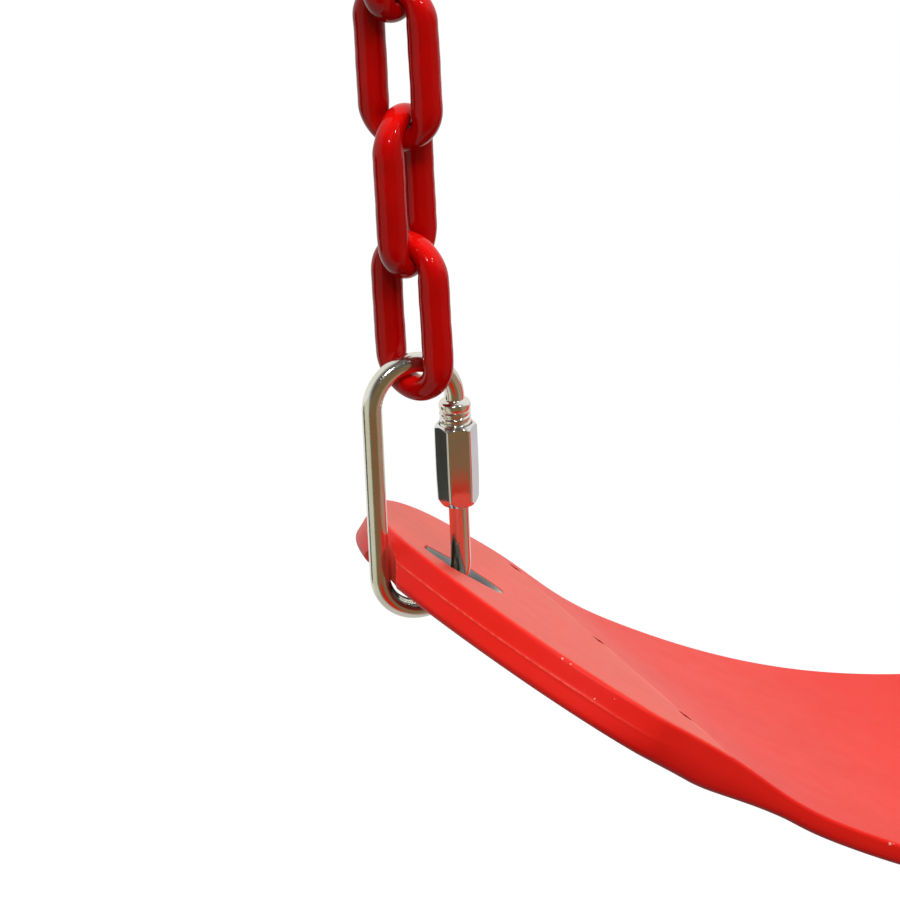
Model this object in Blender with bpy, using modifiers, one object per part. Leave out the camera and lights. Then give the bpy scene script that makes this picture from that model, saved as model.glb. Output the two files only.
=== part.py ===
"""Belt swing seat: a moulded flexible belt hung at each end by a screw quick link and a coated chain.

The model hangs from the two upper quick links. Origin: midway between the two hanging points.
+X runs along the belt from its left end to its right end, +Y to the back, +Z up. Metres.
"""

import math

import bmesh
import bpy
import numpy as np
from mathutils import Matrix, Vector

MM = 0.001
GAP = 0.3  # clearance between touching pieces, mm

# belt, mm
BELT_HALF_LENGTH = 270.0  # along its surface, from the tip to the middle
BELT_HALF_WIDTH = 69.8
NOSE_LENGTH = 51.0
NOSE_POWER = 1.61
PAD_THICKNESS = 10.9
WEB_THICKNESS = 5.4
PAD_END = 66.0  # where the underside starts to thin
WEB_START = 100.0
EDGE_RADIUS = 2.0
WEB_EDGE_RADIUS = 1.6
SLOPES = [  # distance from the tip along the top face, slope in degrees
    (0.0, 35.0), (40.0, 35.0), (54.0, 35.0), (68.0, 36.5), (77.0, 40.5), (88.0, 42.0), (98.0, 37.0),
    (112.0, 29.8), (128.0, 27.2), (143.5, 24.6), (165.0, 19.9), (184.5, 15.3), (205.0, 10.9),
    (225.0, 7.1), (246.0, 3.6), (270.0, 0.0),
]

# slot with its steel eyelet, mm along and across the belt
SLOT_CENTRE = 21.3
SLOT_LENGTH = 20.6
SLOT_WIDTH = 9.4
EYELET_WALL = 1.0
RIM_WIDTH = 1.7
RIM_THICKNESS = 0.8
RIM_TOP = -0.1  # the rim lies flush in a recess of the top face

# shallow hollow pressed into each tip by the quick link's rod, mm
HOLLOW_X = -7.2  # its deepest line, against the quick link's centre
HOLLOW_RADIUS = 22.0
INSERT_THICKNESS = 1.6
INSERT_FROM, INSERT_TO = 6.2, 43.0
INSERT_HALF_WIDTH = 19.0

# quick link, mm
ROD = 5.0
LINK_LENGTH = 70.7
LINK_SPACING = 22.0  # between the centres of its two sides
COLLAR = 7.6  # threaded collar, outside diameter
COLLAR_TOP = 20.9
NUT_BOTTOM, NUT_TOP = -6.5, 15.0
NUT_FLATS = 9.6
NUT_BORE = 8.2
STUB_TOP = -5.0
OPENING_TOP = 1.0
NUT_TURN = 15.0  # degrees
NUT_TRAVEL = 9.0
LINK_LEAN = 2.7  # degrees, outward lean of the lower quick links

# chain, mm
CHAIN_OUTER = 43.7  # length of a link over its coating
CHAIN_SPACING = 15.2
CROWN_RADIUS = 2.8  # where links bear on each other the coating is thin
LOWEST_CROWN_RADIUS = 3.25  # lowest link, at the quick link
HOOK_GAP = 0.85  # between the lowest chain link and the quick link, along the chain; less beside it
LEG_RADIUS = 3.85
CHAIN_TURNS = [-64.5, 40.0, -56.5, 38.0, -64.5]  # degrees about the chain, from the lowest link up
CHAIN_SHIFT = -0.45  # the chain's axis against the lower quick link's centre
LEAN = 3.4  # outward lean of the chains, degrees

# the belt tip against the centre of the lower quick link, mm
TIP_X, TIP_Z = -5.56, -11.6


# ---------------------------------------------------------------- scene set-up
for old in list(bpy.data.objects):
    bpy.data.objects.remove(old, do_unlink=True)

PARTS = bpy.data.collections.new("belt_swing_seat")
CUTTERS = bpy.data.collections.new("cutters")
for made in (PARTS, CUTTERS):
    bpy.context.scene.collection.children.link(made)


def material(name, color, roughness, metallic):
    m = bpy.data.materials.new(name)
    m.use_nodes = True
    shader = m.node_tree.nodes["Principled BSDF"]
    shader.inputs["Base Color"].default_value = (*color, 1.0)
    shader.inputs["Roughness"].default_value = roughness
    shader.inputs["Metallic"].default_value = metallic
    return m


BELT_RED = material("belt_rubber", (0.80, 0.035, 0.018), 0.5, 0.0)
CHAIN_RED = material("chain_coating", (0.42, 0.004, 0.006), 0.16, 0.0)
ZINC = material("zinc_plated_steel", (0.62, 0.60, 0.55), 0.22, 1.0)
NUT_ZINC = material("zinc_plated_nut", (0.66, 0.65, 0.62), 0.2, 1.0)
EYELET_STEEL = material("eyelet_steel", (0.55, 0.55, 0.55), 0.3, 1.0)
INSERT_STEEL = material("insert_steel", (0.35, 0.35, 0.36), 0.45, 1.0)


def add(name, data, mat, collection=PARTS):
    o = bpy.data.objects.new(name, data)
    collection.objects.link(o)
    if mat is not None:
        data.materials.append(mat)
    if collection is CUTTERS:
        o.hide_render = True
        o.display_type = "WIRE"
    return o


def cut(target, cutter):
    m = target.modifiers.new("cut_" + cutter.name, "BOOLEAN")
    m.operation = "DIFFERENCE"
    m.solver = "EXACT"
    m.object = cutter


# ---------------------------------------------------------------- belt profile
def profile_tables():
    """Top face of the left half, from its tip: distance, x, z and slope, with x and z measured from the tip."""
    s = np.linspace(-12.0, BELT_HALF_LENGTH, 1129)
    at, deg = np.array(SLOPES).T
    slope = np.radians(np.interp(s, at, deg))
    for _ in range(3):  # soften the changes of slope
        padded = np.concatenate([np.full(12, slope[0]), slope, 2 * slope[-1] - slope[-2:-14:-1]])
        slope = np.convolve(padded, np.full(25, 1 / 25), "valid")
    step = s[1] - s[0]
    mean = (slope[1:] + slope[:-1]) / 2
    x = np.concatenate([[0.0], np.cumsum(np.cos(mean)) * step])
    z = -np.concatenate([[0.0], np.cumsum(np.sin(mean)) * step])
    return s, x - np.interp(0.0, s, x), z - np.interp(0.0, s, z), slope


S, PX, PZ, SLOPE = profile_tables()
BELT_SPAN = float(PX[-1])  # from the tip to the middle, level
LINK_X = -(BELT_SPAN + TIP_X)  # centre of the left lower quick link
LEAN_RAD = math.radians(LEAN)

# heights, going up from the lower quick link's centre at z = 0 for now
CROWN_INSIDE = LINK_LENGTH / 2 - ROD
CHAIN_COUNT = len(CHAIN_TURNS)


def up_chain(distance):
    """A point of the left chain's axis, this far above the lower quick link's crown."""
    return Vector((
        LINK_X + CHAIN_SHIFT - math.sin(LEAN_RAD) * distance, 0.0, CROWN_INSIDE + math.cos(LEAN_RAD) * distance,
    ))


def link_stations():
    """For each chain link, from the lowest up: its middle and the bearing point above it, along the chain."""
    inside_bottom = -HOOK_GAP
    stations = []
    for k in range(CHAIN_COUNT):
        bottom = LOWEST_CROWN_RADIUS if k == 0 else CROWN_RADIUS
        middle = inside_bottom - 2 * bottom + CHAIN_OUTER / 2
        inside_top = middle + CHAIN_OUTER / 2 - 2 * CROWN_RADIUS
        stations.append((middle, inside_top - GAP / 2))
        inside_bottom = inside_top - GAP
    return stations


STATIONS = link_stations()
TOP_REACH = STATIONS[-1][1] - GAP / 2 - 0.3
UPPER_LINK = up_chain(TOP_REACH) + Vector((0.0, 0.0, CROWN_INSIDE))
HANG_Z = UPPER_LINK.z + CROWN_INSIDE  # inside of the upper crown
DROP = Vector((0.0, 0.0, -HANG_Z))  # moves everything so that the hanging points lie at z = 0
TIP = Vector((-BELT_SPAN, 0.0, TIP_Z)) + DROP


def thickness(s):
    t = np.clip((s - PAD_END) / (WEB_START - PAD_END), 0.0, 1.0)
    t = t * t * (3 - 2 * t)
    return PAD_THICKNESS + (WEB_THICKNESS - PAD_THICKNESS) * t


def on_belt(s, y, depth):
    """World position in mm of a point this far along the belt, across it, and below its top face."""
    slope = float(np.interp(s, S, SLOPE))
    return Vector((
        TIP.x + float(np.interp(s, S, PX)) - depth * math.sin(slope),
        y,
        TIP.z + float(np.interp(s, S, PZ)) - depth * math.cos(slope),
    ))


def outline(t):
    """Half outline: t from 0 at the tip to 1 at the end of the nose, then on to 2 at the middle."""
    if t <= 1.0:
        a = t * math.pi / 2
        return (
            NOSE_LENGTH * (1 - math.cos(a) ** (2 / NOSE_POWER)),
            BELT_HALF_WIDTH * math.sin(a) ** (2 / NOSE_POWER),
        )
    return NOSE_LENGTH + (t - 1.0) * (BELT_HALF_LENGTH - NOSE_LENGTH), BELT_HALF_WIDTH


def edge_frame(t):
    """A point of the outline and its outward direction in the belt's plane."""
    p = np.array(outline(t))
    if t >= 1.0:
        return p, np.array([0.0, 1.0])
    if t <= 0.0:
        return p, np.array([-1.0, 0.0])
    d = np.array(outline(min(t + 1e-4, 1.0))) - np.array(outline(max(t - 1e-4, 0.0)))
    d /= np.linalg.norm(d)
    return p, np.array([-d[1], d[0]])


def belt_edge_rings():
    """Edge section from the top face round to the underside: (inset, depth) as shares of the radii."""
    rings = []
    for k in range(4):
        a = math.radians(30 * k)
        rings.append(("top", 1 - math.sin(a), 1 - math.cos(a)))
    for k in range(4):
        a = math.radians(30 * k)
        rings.append(("bottom", 1 - math.cos(a), 1 - math.sin(a)))
    return rings


def build_belt():
    front, across = 5, 12  # rows of corners round the nose, columns over the belt
    corner = 0.50  # where the nose curve hands over to the belt's sides
    half = across // 2
    nose_t = [corner * (k / half) ** 0.9 for k in range(half + 1)]
    side_t = [corner + (1 - corner) * k / front for k in range(1, front + 1)]
    for s in (56, 62, 68, 74, 80, 86, 92, 99, 108, 119, 132, 147, 164, 182, 201, 222, 246, BELT_HALF_LENGTH):
        side_t.append(1 + (s - NOSE_LENGTH) / (BELT_HALF_LENGTH - NOSE_LENGTH))
    side_t = [corner] + side_t

    def place(t, side, inset, depth):
        p, n = edge_frame(t)
        s, y = p - inset * n
        return s, side * max(y, 0.0), depth

    def radii(t):
        s = outline(t)[0]
        k = float(np.clip((PAD_THICKNESS - thickness(s)) / (PAD_THICKNESS - WEB_THICKNESS), 0, 1))
        r = EDGE_RADIUS + (WEB_EDGE_RADIUS - EDGE_RADIUS) * k
        return r, r

    def face_grid(top):
        """Corners of the top face or the underside, from its edge inwards."""
        rows = []
        for i, t in enumerate(side_t):
            r = radii(t)[0 if top else 1]
            gs, gy, _ = place(t, 1, r, 0)
            row = []
            for j in range(across + 1):
                v = j - half
                tn = nose_t[abs(v)]
                rn = radii(tn)[0 if top else 1]
                fs, fy, _ = place(tn, 1, rn, 0)
                cs, cy, _ = place(corner, 1, radii(corner)[0 if top else 1], 0)
                fade = max(0.0, 1 - (gs - cs) / (62.0 - cs)) ** 1.3
                s = gs - (cs - fs) * fade
                y = (gy * fy / cy) * fade + (gy * abs(v) / half) * (1 - fade)
                row.append((s, math.copysign(y, v) if v else 0.0))
            rows.append(row)
        return rows

    bm = bmesh.new()
    grids = []
    for top in (True, False):
        grid = []
        for row in face_grid(top):
            grid.append([
                bm.verts.new(on_belt(s, y, 0.0 if top else float(thickness(s))) * MM) for s, y in row
            ])
        grids.append(grid)
    for grid, flip in zip(grids, (False, True)):
        for i in range(len(grid) - 1):
            for j in range(across):
                corners = [grid[i][j], grid[i + 1][j], grid[i + 1][j + 1], grid[i][j + 1]]
                bm.faces.new(corners[::-1] if flip else corners)

    # the edge: one loop of corners for each ring of the section
    def loop_places():
        for t in reversed(side_t[1:]):
            yield t, -1
        for k in range(half, 0, -1):
            yield nose_t[k], -1
        yield 0.0, 1
        for k in range(1, half + 1):
            yield nose_t[k], 1
        for t in side_t[1:]:
            yield t, 1

    def loop_of(grid):
        left = [row[0] for row in reversed(grid[1:])]
        front_row = list(grid[0])
        right = [row[-1] for row in grid[1:]]
        return left + front_row + right

    loops = [loop_of(grids[0])]
    for where, inset, depth in belt_edge_rings()[1:-1]:
        ring = []
        for t, side in loop_places():
            rt, rb = radii(t)
            if where == "top":
                s, y, d = place(t, side, rt * inset, rt * depth)
            else:
                s0 = outline(t)[0]
                s, y, d = place(t, side, rb * inset, 0.0)
                d = float(thickness(s0)) - rb * depth
            ring.append(bm.verts.new(on_belt(s, y, d) * MM))
        loops.append(ring)
    loops.append(loop_of(grids[1]))
    for a, b in zip(loops, loops[1:]):
        for k in range(len(a) - 1):
            bm.faces.new([a[k], a[k + 1], b[k + 1], b[k]])
    for v in bm.verts:  # the open end lies exactly on the middle plane
        if abs(v.co.x) < 1e-4:
            v.co.x = 0.0
    bmesh.ops.recalc_face_normals(bm, faces=bm.faces)
    mesh = bpy.data.meshes.new("seat_belt")
    bm.to_mesh(mesh)
    bm.free()
    mesh.shade_smooth()
    mesh.set_sharp_from_angle(angle=math.radians(40))
    o = add("seat_belt", mesh, BELT_RED)
    m = o.modifiers.new("other_half", "MIRROR")
    m.use_axis = (True, False, False)
    m.use_clip = True
    m.merge_threshold = 0.00001
    return o


# ---------------------------------------------------------------- plates and rings on the belt's plane
def belt_matrix(s, depth, side):
    """Frame on the belt's top face: local X along the belt towards its middle, local Z its outward normal."""
    slope = float(np.interp(s, S, SLOPE))
    origin = on_belt(s, 0.0, depth) * MM
    along = Vector((math.cos(slope), 0.0, -math.sin(slope)))
    normal = Vector((math.sin(slope), 0.0, math.cos(slope)))
    m = Matrix.Identity(4)
    across = normal.cross(along)
    for c, v in enumerate((along, across, normal, origin)):
        m[0][c], m[1][c], m[2][c] = v
    if side > 0:  # the right end is the left one turned half a turn about Z
        m = Matrix.Rotation(math.pi, 4, "Z") @ m
    return m


def rounded_path(half_x, half_y, radius, steps):
    pts = []
    for cx, cy, start in (
        (half_x - radius, half_y - radius, 0), (radius - half_x, half_y - radius, 90),
        (radius - half_x, radius - half_y, 180), (half_x - radius, radius - half_y, 270),
    ):
        for k in range(steps + 1):
            a = math.radians(start + 90 * k / steps)
            p = (cx + radius * math.cos(a), cy + radius * math.sin(a))
            if not pts or math.dist(p, pts[-1]) > 1e-6:
                pts.append(p)
    if math.dist(pts[0], pts[-1]) < 1e-6:
        pts.pop()
    return pts


def plate_curve(name, paths, height):
    """A flat outline, with holes, filled and extruded, then made a mesh with its caps welded."""
    curve = bpy.data.curves.new(name, "CURVE")
    curve.dimensions = "2D"
    curve.fill_mode = "BOTH"
    curve.extrude = height / 2 * MM
    for path in paths:
        spline = curve.splines.new("POLY")
        spline.points.add(len(path) - 1)
        for point, (x, y) in zip(spline.points, path):
            point.co = (x * MM, y * MM, 0.0, 1.0)
        spline.use_cyclic_u = True
    o = bpy.data.objects.new(name, curve)
    CUTTERS.objects.link(o)
    graph = bpy.context.evaluated_depsgraph_get()
    mesh = bpy.data.meshes.new_from_object(o.evaluated_get(graph))
    bpy.data.objects.remove(o, do_unlink=True)
    bm = bmesh.new()
    bm.from_mesh(mesh)
    bmesh.ops.remove_doubles(bm, verts=bm.verts, dist=1e-6)
    bmesh.ops.recalc_face_normals(bm, faces=bm.faces)
    bm.to_mesh(mesh)
    bm.free()
    return mesh


def slot_path(extra, steps=4):
    half_y = SLOT_WIDTH / 2 + extra
    return rounded_path(SLOT_LENGTH / 2 + extra, half_y, half_y, steps)


def ring_section(bm, path_of, section):
    """Sweep a closed section (outward offset, height) round the slot's outline."""
    rings = []
    for extra, height in section:
        rings.append([bm.verts.new((x * MM, y * MM, height * MM)) for x, y in path_of(extra)])
    n = len(rings[0])
    for a, b in zip(rings, rings[1:] + rings[:1]):
        for k in range(n):
            bm.faces.new([a[k], a[(k + 1) % n], b[(k + 1) % n], b[k]])
    bmesh.ops.recalc_face_normals(bm, faces=bm.faces)


def build_eyelet(side_name, side, shared={}):
    if not shared:
        w = EYELET_WALL
        bottom = -(PAD_THICKNESS + GAP + RIM_THICKNESS)
        top, under = RIM_TOP, RIM_TOP - RIM_THICKNESS
        section = [  # inside wall, rolled rim on top, outside wall; offsets from the slot's opening
            (0.0, bottom), (0.0, under + 0.1), (0.3, top - 0.15), (0.9, top + 0.1),
            (w + RIM_WIDTH - 0.7, top), (w + RIM_WIDTH, under + 0.35), (w + RIM_WIDTH - 0.15, under),
            (w, under), (w, bottom),
        ]
        bm = bmesh.new()
        ring_section(bm, slot_path, section)
        mesh = bpy.data.meshes.new("eyelet")
        bm.to_mesh(mesh)
        bm.free()
        mesh.shade_smooth()
        mesh.set_sharp_from_angle(angle=math.radians(35))
        shared["eyelet"] = mesh
        top = -(PAD_THICKNESS + GAP)
        section = [
            (w + GAP, top - RIM_THICKNESS), (w + GAP, top), (w + RIM_WIDTH, top),
            (w + RIM_WIDTH, top - RIM_THICKNESS + 0.3), (w + RIM_WIDTH - 0.3, top - RIM_THICKNESS),
        ]
        bm = bmesh.new()
        ring_section(bm, slot_path, section)
        mesh = bpy.data.meshes.new("eyelet_washer")
        bm.to_mesh(mesh)
        bm.free()
        mesh.shade_smooth()
        mesh.set_sharp_from_angle(angle=math.radians(35))
        shared["washer"] = mesh
        shared["eyelet"].materials.append(EYELET_STEEL)
        shared["washer"].materials.append(EYELET_STEEL)
    frame = belt_matrix(SLOT_CENTRE, 0.0, side)
    for key, name in (("eyelet", "eyelet_" + side_name), ("washer", "eyelet_washer_" + side_name)):
        add(name, shared[key], None).matrix_world = frame


def build_insert(side_name, side, belt):
    middle = (INSERT_FROM + INSERT_TO) / 2
    half = (INSERT_TO - INSERT_FROM) / 2
    shift = SLOT_CENTRE - middle

    def hole(extra):
        return [(x + shift, y) for x, y in slot_path(extra)][::-1]

    mesh = plate_curve(
        "end_insert",
        [rounded_path(half, INSERT_HALF_WIDTH, 9.0, 4), hole(EYELET_WALL + GAP)],
        INSERT_THICKNESS,
    )
    frame = belt_matrix(middle, PAD_THICKNESS / 2, side)
    mesh.shade_flat()
    add("end_insert_" + side_name, mesh, INSERT_STEEL).matrix_world = frame
    pocket = plate_curve(
        "insert_pocket",
        [rounded_path(half + GAP, INSERT_HALF_WIDTH + GAP, 9.0 + GAP, 4)],
        INSERT_THICKNESS + 2 * GAP,
    )
    cutter = add("pocket_cutter_" + side_name, pocket, None, CUTTERS)
    cutter.matrix_world = frame
    cut(belt, cutter)
    slot = plate_curve("slot_cut", [slot_path(EYELET_WALL + GAP)], 40.0)
    cutter = add("slot_cutter_" + side_name, slot, None, CUTTERS)
    cutter.matrix_world = belt_matrix(SLOT_CENTRE, PAD_THICKNESS / 2, side)
    cut(belt, cutter)
    recess = plate_curve(
        "rim_recess", [slot_path(EYELET_WALL + RIM_WIDTH + GAP, 5)], 2 * (RIM_THICKNESS - RIM_TOP + GAP)
    )
    cutter = add("recess_cutter_" + side_name, recess, None, CUTTERS)
    cutter.matrix_world = belt_matrix(SLOT_CENTRE, 0.0, side)
    cut(belt, cutter)
    bm = bmesh.new()
    bmesh.ops.create_cone(
        bm, cap_ends=True, segments=72, radius1=HOLLOW_RADIUS * MM, radius2=HOLLOW_RADIUS * MM, depth=40 * MM,
        matrix=Matrix.Translation(Vector((LINK_X + HOLLOW_X - HOLLOW_RADIUS, 0.0, DROP.z + TIP_Z - 8.0)) * MM),
    )
    hollow = bpy.data.meshes.new("hollow_cut")
    bm.to_mesh(hollow)
    bm.free()
    cutter = add("hollow_cutter_" + side_name, hollow, None, CUTTERS)
    if side > 0:
        cutter.matrix_world = Matrix.Rotation(math.pi, 4, "Z")
    cut(belt, cutter)


# ---------------------------------------------------------------- rods and chain links
def rod_curve(name, points, radii, cyclic, sides_setting=2):
    curve = bpy.data.curves.new(name, "CURVE")
    curve.dimensions = "3D"
    curve.bevel_depth = MM
    curve.bevel_resolution = sides_setting
    curve.use_fill_caps = not cyclic
    spline = curve.splines.new("POLY")
    spline.points.add(len(points) - 1)
    for point, p, r in zip(spline.points, points, radii):
        point.co = (p[0] * MM, p[1] * MM, p[2] * MM, 1.0)
        point.radius = r
    spline.use_cyclic_u = cyclic
    return curve


def oval_points(half_spacing, half_height, arc_steps, leg_steps):
    """Centre line of a long oval in the XZ plane, from the middle of its right side, going up and round."""
    pts = []
    for k in range(leg_steps):
        pts.append((half_spacing, half_height * k / leg_steps))
    for k in range(arc_steps):
        a = math.pi * k / arc_steps
        pts.append((half_spacing * math.cos(a), half_height + half_spacing * math.sin(a)))
    for k in range(2 * leg_steps):
        pts.append((-half_spacing, half_height * (1 - k / leg_steps)))
    for k in range(arc_steps):
        a = math.pi + math.pi * k / arc_steps
        pts.append((half_spacing * math.cos(a), -half_height + half_spacing * math.sin(a)))
    for k in range(leg_steps):
        pts.append((half_spacing, -half_height * (1 - k / leg_steps)))
    return [(x, 0.0, z) for x, z in pts]


def chain_link_curve(bottom_radius):
    """One coated link, thicker along its legs than at its crowns; the origin is at the middle of its length."""
    hs = CHAIN_SPACING / 2
    top = CHAIN_OUTER / 2 - CROWN_RADIUS - hs
    bottom = CHAIN_OUTER / 2 - bottom_radius - hs
    pts, radii = [], []
    for x, y, z in oval_points(hs, 1.0, 8, 2):
        straight = top if z > 0 else bottom
        z += straight - 1.0 if z >= 1.0 else (1.0 - straight if z <= -1.0 else (straight - 1.0) * z)
        crown = CROWN_RADIUS if z > 0 else bottom_radius
        k = min(max((abs(z) - (straight - 1.0)) / (hs * 0.9 + 1.0), 0.0), 1.0)
        k = k * k * (3 - 2 * k)
        pts.append((x, y, z))
        radii.append(LEG_RADIUS + (crown - LEG_RADIUS) * k)
    return rod_curve("chain_link", pts, radii, True)


def quick_link_curve():
    """The open rod of a quick link, from the stub inside the nut, down, round, up and over to the collar's end."""
    hs = LINK_SPACING / 2
    hh = LINK_LENGTH / 2 - ROD / 2 - hs
    pts, radii = [], []

    def add_point(x, z, r):
        pts.append((x, 0.0, z))
        radii.append(r)

    rod, collar = ROD / 2, COLLAR / 2
    add_point(hs, STUB_TOP, collar - 0.6)
    add_point(hs, STUB_TOP - 0.6, collar)
    add_point(hs, NUT_BOTTOM + 0.5, collar)
    add_point(hs, NUT_BOTTOM - 0.1, rod)
    for k in range(11):
        a = -math.pi * k / 10
        add_point(hs * math.cos(a), -hh + hs * math.sin(a), rod)
    add_point(-hs, 0.0, rod)
    for k in range(11):
        a = math.pi - math.pi * k / 10
        if k == 10:
            break
        add_point(hs * math.cos(a), hh + hs * math.sin(a), rod)
    add_point(hs, COLLAR_TOP + 0.5, rod)
    add_point(hs, COLLAR_TOP - 0.1, collar)
    add_point(hs, OPENING_TOP + 0.6, collar)
    add_point(hs, OPENING_TOP, collar - 0.6)
    return rod_curve("quick_link", pts, radii, False)


def nut_mesh():
    """Hexagonal sleeve with chamfered ends and a through bore, axis on local Z, origin at the quick link's centre height."""
    bm = bmesh.new()
    corner = NUT_FLATS / 2 / math.cos(math.pi / 6)
    length = NUT_TOP - NUT_BOTTOM
    bmesh.ops.create_cone(
        bm, cap_ends=True, segments=6, radius1=corner * MM, radius2=corner * MM, depth=length * MM,
        matrix=Matrix.Translation((0, 0, (NUT_TOP + NUT_BOTTOM) / 2 * MM)) @ Matrix.Rotation(math.radians(NUT_TURN + 30), 4, "Z"),
    )
    mesh = bpy.data.meshes.new("nut")
    bm.to_mesh(mesh)
    bm.free()
    return mesh


def chamfer_profile_mesh():
    """What the nut's chamfers leave: a turned body that the hexagon is intersected with."""
    bm = bmesh.new()
    corner = NUT_FLATS / 2 / math.cos(math.pi / 6)
    flat = NUT_FLATS / 2
    ends = [(flat - 0.45, NUT_TOP), (corner + 0.02, NUT_TOP - 1.15), (corner + 0.02, NUT_BOTTOM + 1.9), (flat - 0.75, NUT_BOTTOM)]
    verts = [bm.verts.new((0, 0, NUT_TOP * MM))] + [bm.verts.new((r * MM, 0, z * MM)) for r, z in ends] + [bm.verts.new((0, 0, NUT_BOTTOM * MM))]
    for a, b in zip(verts, verts[1:]):
        bm.edges.new((a, b))
    mesh = bpy.data.meshes.new("nut_turning")
    bm.to_mesh(mesh)
    bm.free()
    return mesh


CHAIN_LINK = chain_link_curve(CROWN_RADIUS)
CHAIN_LINK.materials.append(CHAIN_RED)
LOWEST_CHAIN_LINK = chain_link_curve(LOWEST_CROWN_RADIUS)
LOWEST_CHAIN_LINK.materials.append(CHAIN_RED)
LINK_CURVE = quick_link_curve()
LINK_CURVE.materials.append(ZINC)
NUT = nut_mesh()
NUT.materials.append(NUT_ZINC)
TURNED = chamfer_profile_mesh()


def mirror_x(v, side):
    return Vector((-v.x, v.y, v.z)) if side > 0 else Vector(v)


def quick_link(level, side_name, side, centre):
    """A quick link whose opening faces the belt's middle. Its two sides lie in the XZ plane."""
    centre = mirror_x(centre, side)
    frame = Matrix.Translation(centre * MM) @ Matrix.Rotation(math.pi if side > 0 else 0.0, 4, "Z")
    if level == "lower":
        frame = frame @ Matrix.Rotation(-math.radians(LINK_LEAN), 4, "Y")
    body = add(f"quick_link_{level}_{side_name}", LINK_CURVE, None)
    body.matrix_world = frame
    place = frame @ Matrix.Translation((LINK_SPACING / 2 * MM, 0, 0))
    nut = add(f"quick_link_nut_{level}_{side_name}", NUT, None)
    nut.matrix_world = place
    turned = add(f"nut_turning_{level}_{side_name}", TURNED.copy(), None, CUTTERS)
    turned.matrix_world = place
    screw = turned.modifiers.new("turn", "SCREW")
    screw.axis = "Z"
    screw.steps = screw.render_steps = 24
    screw.use_merge_vertices = True
    screw.merge_threshold = 0.00001
    m = nut.modifiers.new("chamfers", "BOOLEAN")
    m.operation = "INTERSECT"
    m.solver = "EXACT"
    m.object = turned
    bm = bmesh.new()
    bmesh.ops.create_cone(
        bm, cap_ends=True, segments=16, radius1=NUT_BORE / 2 * MM, radius2=NUT_BORE / 2 * MM, depth=40 * MM,
        matrix=Matrix.Translation((0, 0, 4 * MM)),
    )
    bore = bpy.data.meshes.new("nut_bore")
    bm.to_mesh(bore)
    bm.free()
    cutter = add(f"nut_bore_{level}_{side_name}", bore, None, CUTTERS)
    cutter.matrix_world = place
    cut(nut, cutter)


def chain(side_name, side):
    for k, turn in enumerate(CHAIN_TURNS):
        centre = up_chain(STATIONS[k][0]) + DROP
        o = add(f"chain_link_{side_name}_{k + 1}", CHAIN_LINK if k else LOWEST_CHAIN_LINK, None)
        lean = Matrix.Rotation(-LEAN_RAD, 4, "Y")
        m = Matrix.Translation(centre * MM) @ lean @ Matrix.Rotation(math.radians(turn), 4, "Z")
        if side > 0:
            m = Matrix.Rotation(math.pi, 4, "Z") @ m
        o.matrix_world = m


belt = build_belt()
for side_name, side in (("left", -1), ("right", 1)):
    build_insert(side_name, side, belt)
    build_eyelet(side_name, side)
    quick_link("lower", side_name, side, Vector((LINK_X, 0.0, 0.0)) + DROP)
    quick_link("upper", side_name, side, UPPER_LINK + DROP)
    chain(side_name, side)

bpy.context.view_layer.update()
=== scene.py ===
"""Looks of the belt swing seat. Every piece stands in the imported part's own frame, in metres."""

import math

import bmesh
import bpy
import numpy as np
from mathutils import Matrix, Vector


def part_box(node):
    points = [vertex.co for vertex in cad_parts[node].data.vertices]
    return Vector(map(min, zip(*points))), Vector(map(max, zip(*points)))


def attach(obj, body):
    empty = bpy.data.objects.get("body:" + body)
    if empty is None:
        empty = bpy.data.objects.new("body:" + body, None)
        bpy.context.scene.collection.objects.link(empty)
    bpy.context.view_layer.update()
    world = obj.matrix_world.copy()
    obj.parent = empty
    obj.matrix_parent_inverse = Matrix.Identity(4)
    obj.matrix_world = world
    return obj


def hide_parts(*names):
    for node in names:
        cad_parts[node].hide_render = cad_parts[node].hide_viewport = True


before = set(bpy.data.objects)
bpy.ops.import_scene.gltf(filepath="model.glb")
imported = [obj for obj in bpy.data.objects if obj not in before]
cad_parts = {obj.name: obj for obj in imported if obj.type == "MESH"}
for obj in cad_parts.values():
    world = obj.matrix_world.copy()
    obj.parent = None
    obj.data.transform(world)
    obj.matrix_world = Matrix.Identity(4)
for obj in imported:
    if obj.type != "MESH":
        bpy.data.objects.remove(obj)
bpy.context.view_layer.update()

MM = 0.001
scene = bpy.context.scene

# ---------------------------------------------------------------- the part's own dimensions, mm
BELT_HALF_LENGTH = 270.0
BELT_HALF_WIDTH = 69.8
NOSE_LENGTH = 51.0
NOSE_POWER = 1.61
PAD_THICKNESS, WEB_THICKNESS = 10.9, 5.4
PAD_END, WEB_START = 66.0, 100.0
CREASE = 72.5
CREASE_MARKS = (-44.0, 5.5, 57.0)
SLOPES = [
    (0.0, 35.0), (40.0, 35.0), (54.0, 35.0), (68.0, 36.5), (77.0, 40.5), (88.0, 42.0), (98.0, 37.0),
    (112.0, 29.8), (128.0, 27.2), (143.5, 24.6), (165.0, 19.9), (184.5, 15.3), (205.0, 10.9),
    (225.0, 7.1), (246.0, 3.6), (270.0, 0.0),
]
SLOT_CENTRE, SLOT_LENGTH, SLOT_WIDTH = 21.3, 20.6, 9.4
HOLLOW_X, HOLLOW_RADIUS = -7.45, 22.0
ROD, LINK_LENGTH, LINK_SPACING = 5.0, 70.7, 22.0
COLLAR_TOP = 20.9
NUT_BOTTOM, NUT_TOP, NUT_FLATS, NUT_TURN = -6.5, 15.0, 9.6, 15.0
STUB_TOP, OPENING_TOP = -5.0, 1.0
CHAIN_OUTER, CHAIN_SPACING = 43.7, 15.2
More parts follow.
